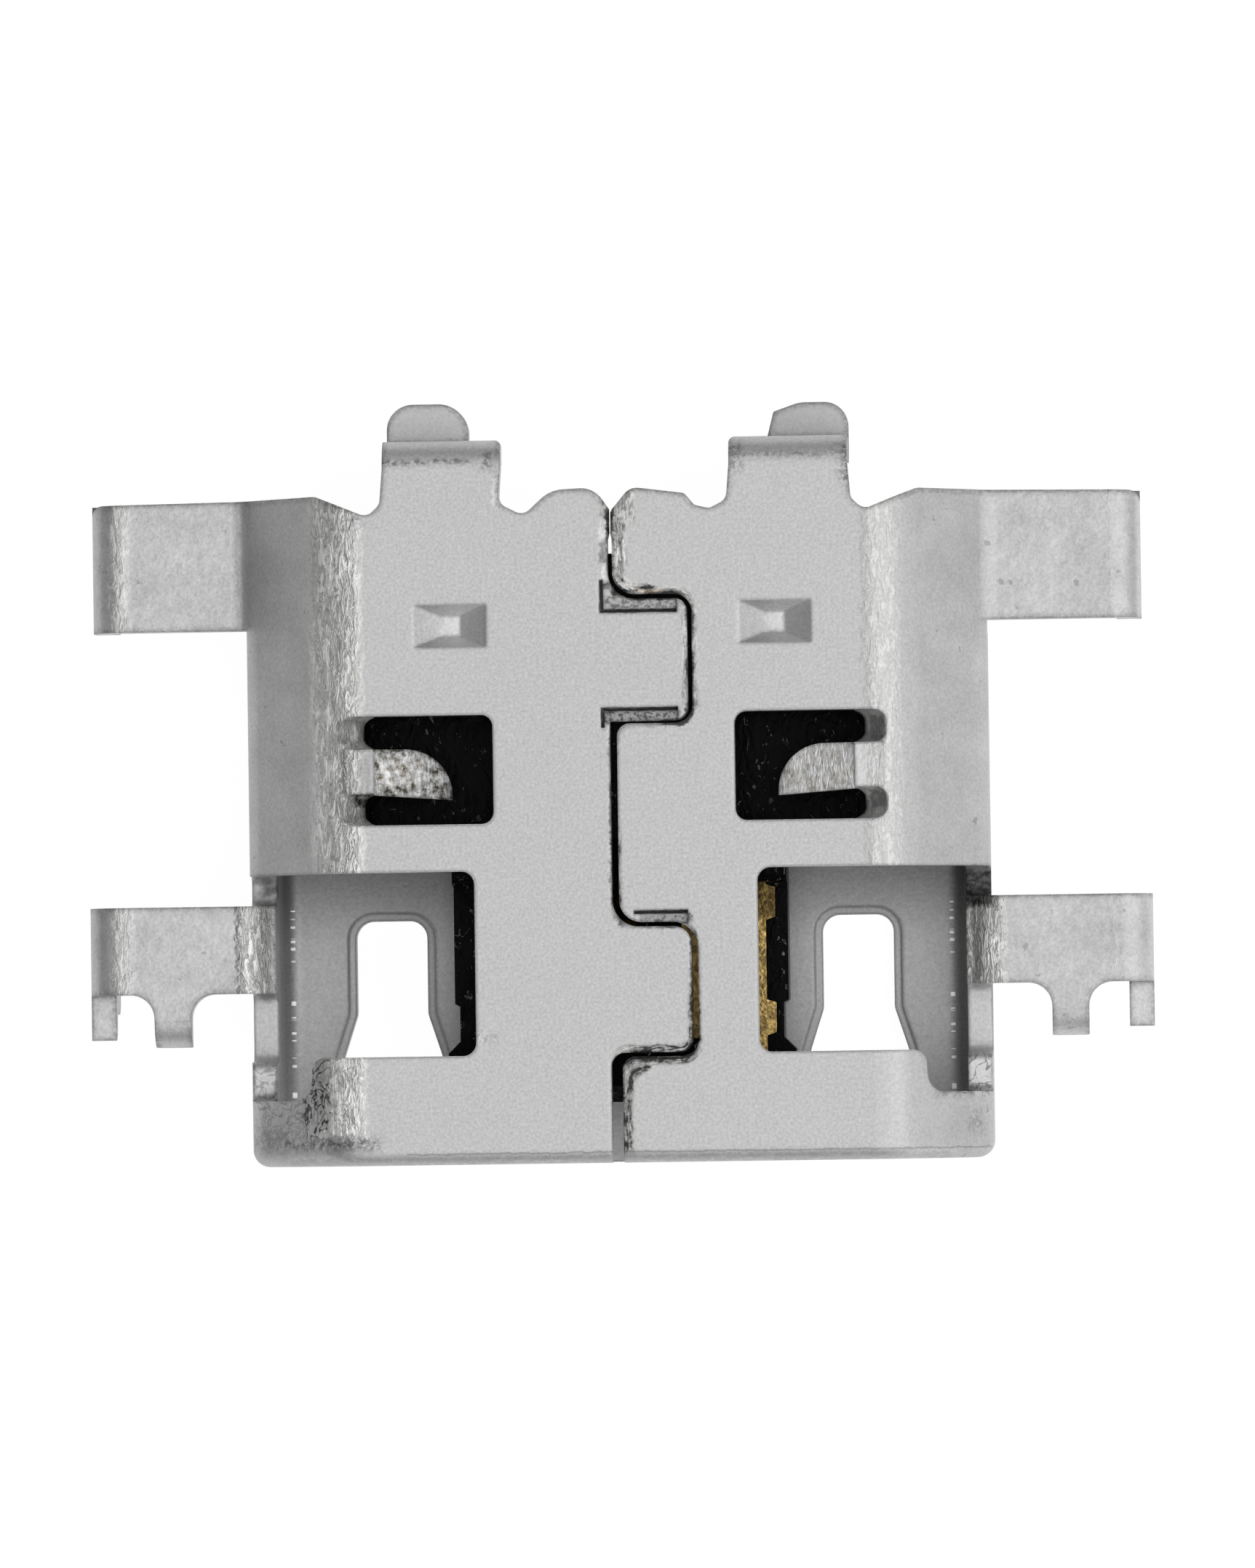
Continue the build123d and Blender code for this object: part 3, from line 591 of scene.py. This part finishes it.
        # Painted highlights and lighter plating
        lights = n.product(n.patches(self.rough_place, bright), n.step(self.z, *above_legs))
        # Painted light on the feet
        lit_feet = n.product(n.patches(self.rough_place, feet), n.step(self.z, *on_feet))
        return n.math("MAXIMUM", n.total(level, lights, lit_feet), darkest_level)

    def clean(self):
        """1 on plating without marks, less under soot, cracks and specks, and under painted shade
        in corners, along shadowed steps and in shaded patches.
        """
        n = self.n
        marks = n.product(n.patches(self.rough_place, soot), self.over_windows, self.flecks)
        groove_shadows = n.product(n.patches(self.crisp_place, grooves), self.over_windows)
        shaded_corners = n.product(n.patches(self.rough_place, corner_shade), self.over_ledges,
                               n.step(self.z, *below_bends),
                               n.lerp(self.flecks, *corner_shade_strengths))
        # Painted shade in recesses and on faces that catch the light
        soft = n.product(n.patches(self.rough_place, shade), self.over_windows)
        web_noise = n.noise(self.place, 5.0, detail=3.0, distortion=1.5)
        web = n.math("ABSOLUTE", n.swing(web_noise, 2.0))
        on_outside = n.step(self.side_and_height, *outer_surface)
        cracked_places = n.highest(
            n.product(n.patches(self.rough_place, cracked), self.over_ledges),
            n.product(n.patches(self.rough_place, cracked_corner), on_outside))
        thin_cracks = n.product(cracked_places, n.step(web, *crack_width))
        dots = n.step(n.noise(self.place, 8.0, detail=2.0), *speck_noise)
        specks = n.product(dots, n.highest(self.on_wings, self.on_slants), speck_strength)
        dirt_and_shade = n.highest(marks, shaded_corners, soft, groove_shadows, self.seam_soot_and_shade, thin_cracks, specks)
        return n.math("SUBTRACT", 1.0, dirt_and_shade)

    def inside_shade(self):
        """Painted shade inside the shell, darker towards the rear and by the side walls."""
        n = self.n
        rough_y = n.along(AXIS_Y, self.rough_place)
        level = n.lerp(n.step(rough_y, *inside_fade), inside_rear, inside_front)
        level = n.product(level, n.lerp(n.step(self.side, *side_wall), 1.0, wall_shade))
        return n.lerp(self.within, 1.0, level)

    def glints(self):
        """Rows of tiny painted glints along the bends inside the shell."""
        n = self.n
        rows = [n.math("ABSOLUTE", n.math("SUBTRACT", self.x, centre)) for centre in glint_places]
        row = n.step(n.math("MINIMUM", *rows), 2 * glint_half_width, glint_half_width)
        dashes = n.noise(n.stretched(self.place, 0.0, 1.0, 0.0), 14.0, detail=2.0)
        return n.product(row, n.step(dashes, *dash_noise), self.within,
                         n.step(self.z, *glint_top), n.step(self.y, *glint_front))

    def tint(self):
        """Beige on torn and crinkled plating, brown on the lances, rust at the rear lock."""
        n = self.n
        tint = n.colour_mix(n.highest(self.crinkle, self.tears), no_tint, beige_tint)
        brown = n.product(self.blotched, n.step(self.blots, *brown_noise),
                          n.lerp(self.to_right, *lance_browns))
        tint = n.colour_mix(brown, tint, brown_tint)
        return n.colour_mix(n.patches(self.crisp_place, rust), tint, rust_tint)

    def relief(self):
        """Rounded edges with folds, grain and mottle on them."""
        n = self.n
        height = n.total(n.product(self.folds, self.crinkle, 1.2), n.product(self.grain, 0.05),
                         n.product(self.mottle, n.lerp(self.on_wings, 0.05, 0.25)))
        rounded = n.add("ShaderNodeBevel", {"Radius": edge_radius}, samples=4).outputs[0]
        return n.add("ShaderNodeBump", {"Strength": 1.0, "Distance": relief_depth,
                                        "Height": height, "Normal": rounded}).outputs[0]

    def border(self):
        """Painted shade along the rounded edges of the wings and of the rear outline."""
        n = self.n
        flat_normal = n.add("ShaderNodeNewGeometry").outputs["True Normal"]
        wide = n.add("ShaderNodeBevel", {"Radius": edge_shade_radius}, samples=4).outputs[0]
        facing = n.add("ShaderNodeVectorMath", {0: wide, 1: flat_normal},
                       operation="DOT_PRODUCT").outputs["Value"]
        outline = n.highest(n.product(self.on_wings, wing_edge_shade),
                            n.step(self.y, *rear_outline))
        return n.product(n.step(facing, *edge_turn), outline,
                         n.lerp(self.flecks, *edge_shade_strengths))


def steel():
    """Tinned steel: fine sand grain, crinkled plating at the bends, soot and stains, with painted
    shade, painted highlights and painted glints.
    """
    material, n = new_material("tinned_steel")
    layers = Steel(n)
    # Painted shade on the slanted faces, deeper on the right
    slant_painted_shade = n.lerp(layers.to_right, slant_left, slant_right)
    level = n.product(layers.plating(), layers.clean(), layers.inside_shade(),
                      n.lerp(layers.on_slants, 1.0, slant_painted_shade))
    # Painted glints along the bends inside the shell
    level = n.total(level, n.product(layers.glints(), glint_lift))
    # Painted shade along the rounded edges
    level = n.product(level, n.math("SUBTRACT", 1.0, layers.border()))
    n.surface(Base_Color=n.tinted(layers.tint(), level), Metallic=steel_metallic,
              Roughness=steel_roughness, Normal=layers.relief())
    return material


def plastic():
    """Black moulding with small painted glints where two noises meet."""
    material, n = new_material("black_moulding")
    place = n.millimetres()
    flow = n.noise(n.stretched(place, 1.0, 0.5, 1.0), 7.0, detail=3.0, distortion=1.5)
    specks = n.noise(n.stretched(place, 1.0, 0.6, 1.0), 16.0, detail=3.0)
    crest = n.step(n.math("ABSOLUTE", n.swing(flow, 2.0)), 0.05, 0.0)
    spark = n.product(crest, n.step(specks, 0.59, 0.66))
    height = n.total(flow, n.product(specks, 0.3))
    relief = n.add("ShaderNodeBump", {"Strength": 0.5, "Distance": relief_depth,
                                      "Height": height}).outputs[0]
    level = n.total(plastic_level, n.product(spark, spark_lift))
    n.surface(Base_Color=n.tinted((1.0, 1.0, 1.0), level),
              Roughness=n.lerp(specks, *plastic_roughness), Specular_IOR_Level=0.05,
              Normal=relief)
    return material


def gold():
    """Gold plating, dull and darker in patches, with a painted shadow over the contact under the
    seam.
    """
    material, n = new_material("gold_plating")
    place = n.millimetres()
    y = n.along(AXIS_Y, place)
    patch = n.step(n.noise(place, 14.0, detail=4.0, roughness=0.65, distortion=0.5), 0.40, 0.60)
    colour = n.colour_mix(patch, gold_light, gold_dark)
    in_painted_shadow = n.patches(place, gold_painted_shadow)
    colour = n.tinted(colour, n.product(n.lerp(n.step(y, *barb_rear), *barb_shades),
                                        n.math("SUBTRACT", 1.0, in_painted_shadow)))
    fine = n.noise(place, 30.0, detail=2.0)
    relief = n.add("ShaderNodeBump", {"Strength": 0.6, "Distance": gold_relief_depth,
                                      "Height": fine}).outputs[0]
    n.surface(Base_Color=colour, Metallic=1.0, Roughness=n.lerp(fine, *gold_roughness),
              Normal=relief)
    return material


def dress(names, material):
    """The material on these CAD pieces."""
    for name in names:
        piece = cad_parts[name]
        piece.data.materials.clear()
        piece.data.materials.append(material)


def light_direction():
    """Towards the brightest part of the dome."""
    flat = math.sin(light_tilt)
    return Vector((flat * math.cos(light_turn), flat * math.sin(light_turn),
                   math.cos(light_tilt)))


def studio_world():
    """Soft dome that fades with the angle from its brightest part."""
    world = bpy.data.worlds.new("studio")
    world.use_nodes = True
    n = Nodes(world.node_tree)
    ray = n.add("ShaderNodeTexCoord").outputs["Generated"]
    facing = n.add("ShaderNodeVectorMath", {0: ray, 1: light_direction()},
                   operation="DOT_PRODUCT").outputs["Value"]
    level = n.lerp(n.step(facing, dome_start, dome_end), dome_dark, dome_bright)
    sky = n.add("ShaderNodeBackground", {"Color": grey(1.0), "Strength": level})
    output = n.add("ShaderNodeOutputWorld")
    n.tree.links.new(sky.outputs[0], output.inputs[0])
    bpy.context.scene.world = world


def floor():
    """Plain white floor under the socket, which keeps a faint shadow."""
    mesh = bpy.data.meshes.new("floor")
    half = floor_half_size
    corners = [(-half, -half, 0), (half, -half, 0), (half, half, 0), (-half, half, 0)]
    mesh.from_pydata(corners, [], [(0, 1, 2, 3)])
    plane = bpy.data.objects.new("floor", mesh)
    bpy.context.scene.collection.objects.link(plane)
    material, n = new_material("floor_white")
    path = n.add("ShaderNodeLightPath")
    seen = n.highest(path.outputs["Is Camera Ray"], path.outputs["Is Glossy Ray"],
                     path.outputs["Is Transmission Ray"])
    glow = n.add("ShaderNodeEmission", {"Strength": n.product(seen, floor_glow)})
    paint = n.add("ShaderNodeBsdfDiffuse",
                  {"Color": n.colour_mix(seen, grey(floor_colour), grey(floor_seen_colour))})
    both = n.add("ShaderNodeAddShader", {0: paint.outputs[0], 1: glow.outputs[0]})
    output = n.add("ShaderNodeOutputMaterial")
    n.tree.links.new(both.outputs[0], output.inputs[0])
    mesh.materials.append(material)


def camera():
    """Long lens above the narrow face."""
    away = Vector((math.sin(view_yaw) * math.cos(view_pitch), -math.sin(view_pitch),
                   math.cos(view_yaw) * math.cos(view_pitch)))
    right = Vector((0, 1, 0)).cross(away).normalized()
    up = away.cross(right)
    turn = Matrix.Rotation(-view_roll, 3, away)
    right, up = turn @ right, turn @ up
    lens = bpy.data.cameras.new("camera")
    lens.sensor_width = film_size
    lens.lens = film_scale
    lens.clip_start = view_distance / 100
    lens.clip_end = view_distance * 100
    eye = bpy.data.objects.new("camera", lens)
    rotation = Matrix((right, up, away)).transposed().to_4x4()
    eye.matrix_world = Matrix.Translation(view_aim + away * view_distance) @ rotation
    bpy.context.scene.collection.objects.link(eye)
    bpy.context.scene.camera = eye


dress(["shell"], steel())
dress(["housing"], plastic())
dress([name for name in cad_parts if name.startswith("contact_")], gold())
studio_world()
floor()
camera()
bpy.context.scene.view_settings.view_transform = "Standard"
